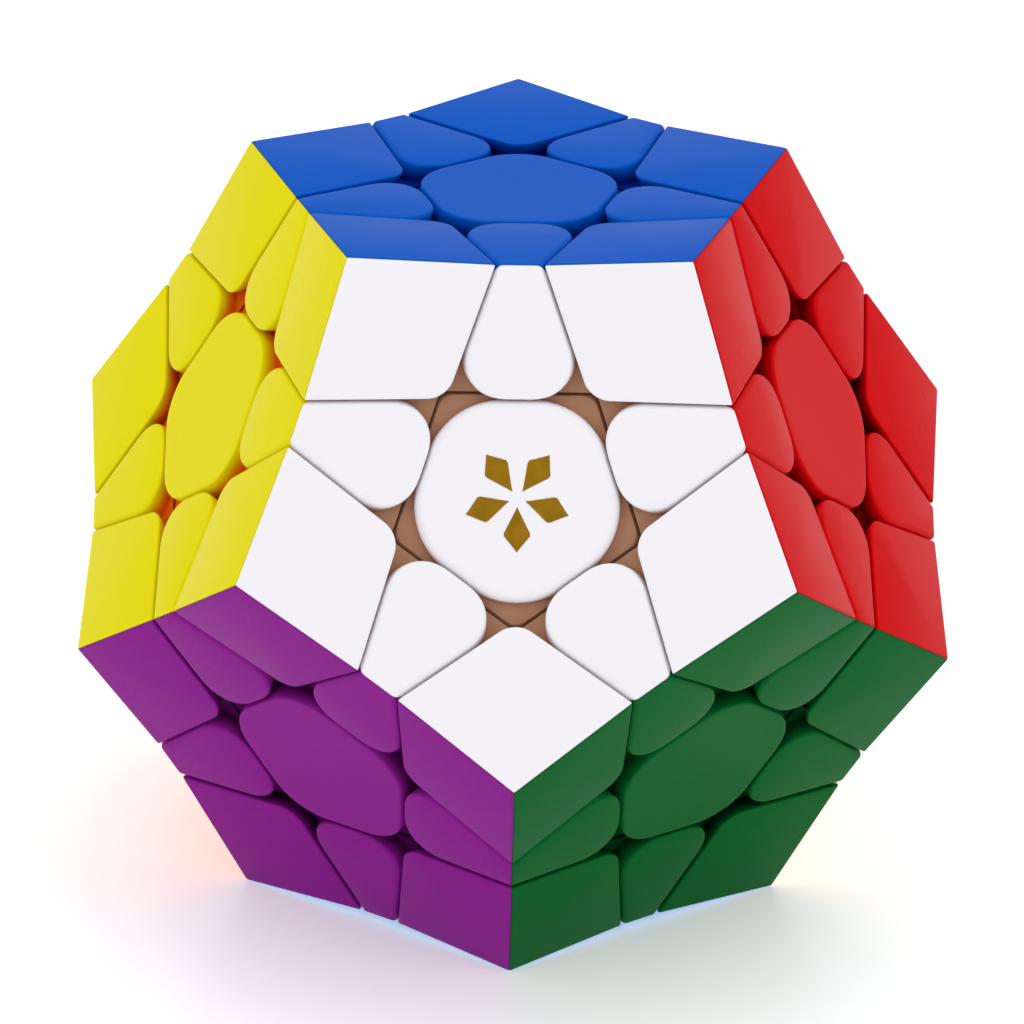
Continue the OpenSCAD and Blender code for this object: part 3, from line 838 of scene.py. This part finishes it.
def table_top():
    made, tree, shader = new_material("white_table", linear(246, 246, 248), 0.32)
    shader.inputs["Emission Color"].default_value = (1.0, 1.0, 1.0, 1.0)
    shader.inputs["Emission Strength"].default_value = 0.3
    shader.inputs["Specular IOR Level"].default_value = 0.35
    add_range(tree, add_noise(tree, 40.0, 3.0), 0.3, 0.36, shader.inputs["Roughness"])
    mesh = bmesh.new()
    bmesh.ops.create_grid(mesh, x_segments=1, y_segments=1, size=TABLE_HALF)
    bmesh.ops.translate(mesh, verts=mesh.verts, vec=(0, 0, -FACE_R))
    top = make_object("table", mesh)
    top.data.materials.append(made)


def soft_box(name, place, width, height, power):
    """A rectangular soft light that faces the puzzle, with its size in metres and power in watts."""
    light = bpy.data.lights.new(name, "AREA")
    light.shape = "RECTANGLE"
    light.size = width
    light.size_y = height
    light.energy = power
    holder = bpy.data.objects.new(name, light)
    holder.location = place
    holder.rotation_mode = "QUATERNION"
    holder.rotation_quaternion = (-Vector(place)).to_track_quat("-Z", "Y")
    bpy.context.scene.collection.objects.link(holder)


table_top()
soft_box("overhead_box", (0.0, 0.15, 0.9), width=0.9, height=0.9, power=3.0)
soft_box("left_strip", (-0.7, -0.8, 0.75), width=0.07, height=0.7, power=1.5)
soft_box("right_strip", (0.85, -0.6, 0.5), width=0.07, height=0.7, power=1.2)
world = bpy.data.worlds.new("studio")
world.use_nodes = True
world.node_tree.nodes["Background"].inputs["Color"].default_value = (1, 1, 1, 1)
world.node_tree.nodes["Background"].inputs["Strength"].default_value = DAYLIGHT
bpy.context.scene.world = world
bpy.context.scene.view_settings.view_transform = "Standard"

lens = bpy.data.cameras.new("camera")
lens.sensor_width = 36.0
lens.lens = LENS
lens.clip_start = 0.01
lens.clip_end = 20.0
camera = bpy.data.objects.new("camera", lens)
bpy.context.scene.collection.objects.link(camera)
camera.rotation_mode = "QUATERNION"
look = Vector((math.cos(CAMERA_DOWN) * math.sin(CAMERA_TURN),
               math.cos(CAMERA_DOWN) * math.cos(CAMERA_TURN), -math.sin(CAMERA_DOWN)))
camera.location = (CAMERA_SIDE, CAMERA_DEPTH, CAMERA_HEIGHT)
facing = look.to_track_quat("-Z", "Y")
camera.rotation_quaternion = facing @ Matrix.Rotation(CAMERA_ROLL, 4, "Z").to_quaternion()
bpy.context.scene.camera = camera
